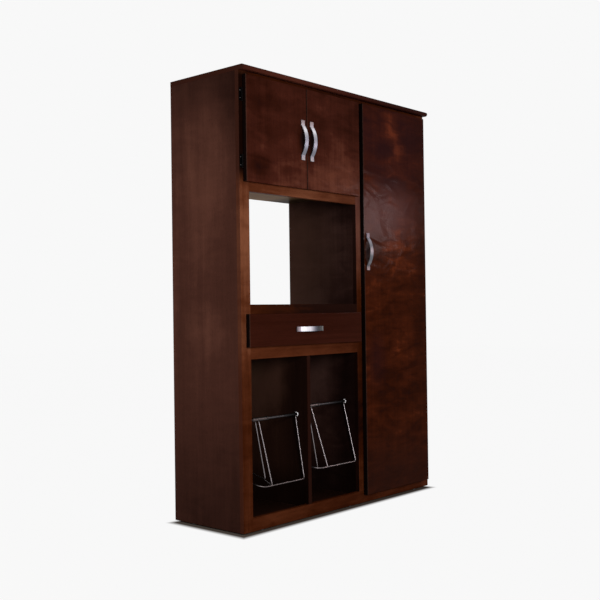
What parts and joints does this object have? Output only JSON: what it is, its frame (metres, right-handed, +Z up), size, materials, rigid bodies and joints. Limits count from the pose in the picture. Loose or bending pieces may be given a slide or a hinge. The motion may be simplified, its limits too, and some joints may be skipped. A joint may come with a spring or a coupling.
{
  "type": "kitchen pantry cabinet",
  "caption": "Tall face-framed kitchen cabinet with a full-height door, a pair of upper doors, an open appliance niche, a drawer, and open bays with swinging wire racks.",
  "frame": {"origin": "on the floor, below the middle of the outline seen from above", "axes": "+Z up, -Y towards the front with the doors, +X towards the tall door's side"},
  "size_m": [1.25, 0.44, 1.8],
  "materials": {
    "frame_wood": "stained and satin lacquered solid wood",
    "front_wood": "stained figured veneer, satin lacquer",
    "carcass_wood": "stained veneered board, satin",
    "back_board": "thin stained panel",
    "inner_wood": "plain sealed wood",
    "handle_metal": "satin nickel",
    "rack_metal": "plated wire",
    "hinge_metal": "dark bronze",
    "zinc_steel": "zinc plated",
    "black_plastic": "moulded"
  },
  "bodies": {
    "carcass": {"left_side_panel": "carcass_wood", "right_side_panel": "carcass_wood", "centre_partition": "carcass_wood", "top_board": "frame_wood", "left_bottom_board": "carcass_wood", "right_bottom_board": "carcass_wood", "niche_ceiling_board": "carcass_wood", "niche_floor_board": "carcass_wood", "bay_ceiling_board": "carcass_wood", "bay_divider": "carcass_wood", "left_stile": "frame_wood", "centre_stile": "frame_wood", "right_stile": "frame_wood", "top_rail": "frame_wood", "upper_door_rail": "frame_wood", "niche_floor_rail": "frame_wood", "bay_head_rail": "frame_wood", "bottom_rail": "frame_wood", "upper_back_panel": "back_board", "bay_back_panel": "back_board", "tall_back_panel": "back_board", "upper_shelf": "carcass_wood", "tall_shelf_1": "carcass_wood", "tall_shelf_2": "carcass_wood", "tall_shelf_3": "carcass_wood", "tall_shelf_4": "carcass_wood", "shelf_pins": "zinc_steel", "glides": "black_plastic", "runner_packer": "inner_wood", "runner_channels": "zinc_steel", "rack_rods": "rack_metal", "rod_sockets": "rack_metal", "hinge_frame_leaves": "hinge_metal", "hinge_pins": "hinge_metal", "door_catches": "black_plastic"},
    "upper_left_door": {"upper_left_door": "front_wood", "upper_left_door_handle": "handle_metal", "upper_left_door_handle_screws": "zinc_steel", "upper_left_door_hinge_leaves": "hinge_metal", "upper_left_door_strike": "zinc_steel"},
    "upper_right_door": {"upper_right_door": "front_wood", "upper_right_door_handle": "handle_metal", "upper_right_door_handle_screws": "zinc_steel", "upper_right_door_hinge_leaves": "hinge_metal", "upper_right_door_strike": "zinc_steel"},
    "tall_door": {"tall_door": "front_wood", "tall_door_handle": "handle_metal", "tall_door_handle_screws": "zinc_steel", "tall_door_hinge_leaves": "hinge_metal", "tall_door_strike": "zinc_steel"},
    "drawer": {"drawer_front": "front_wood", "drawer_left_side": "inner_wood", "drawer_right_side": "inner_wood", "drawer_back": "inner_wood", "drawer_bottom": "inner_wood", "drawer_handle": "handle_metal", "drawer_handle_screws": "zinc_steel", "drawer_runners": "zinc_steel"},
    "left_rack": {"left_rack": "rack_metal"},
    "right_rack": {"right_rack": "rack_metal"}
  },
  "joints": [
    {"name": "upper_left_door_hinge", "type": "hinge", "parent": "carcass", "child": "upper_left_door", "pos_m": [-0.6092, -0.1786, 1.558], "axis": [0, 0, -1], "range_deg": [0, 105]},
    {"name": "upper_right_door_hinge", "type": "hinge", "parent": "carcass", "child": "upper_right_door", "pos_m": [0.1042, -0.1786, 1.558], "axis": [0, 0, 1], "range_deg": [0, 90]},
    {"name": "tall_door_hinge", "type": "hinge", "parent": "carcass", "child": "tall_door", "pos_m": [0.6092, -0.1786, 0.9025], "axis": [0, 0, 1], "range_deg": [0, 105]},
    {"name": "drawer_slide", "type": "slide", "parent": "carcass", "child": "drawer", "axis": [0, -1, 0], "range_m": [0, 0.28]},
    {"name": "left_rack_swing", "type": "hinge", "parent": "carcass", "child": "left_rack", "pos_m": [-0.385, -0.114, 0.424], "axis": [-1, 0, 0], "range_deg": [-40, 75]},
    {"name": "right_rack_swing", "type": "hinge", "parent": "carcass", "child": "right_rack", "pos_m": [-0.048, -0.098, 0.449], "axis": [-1, 0, 0], "range_deg": [-40, 75]}
  ]
}
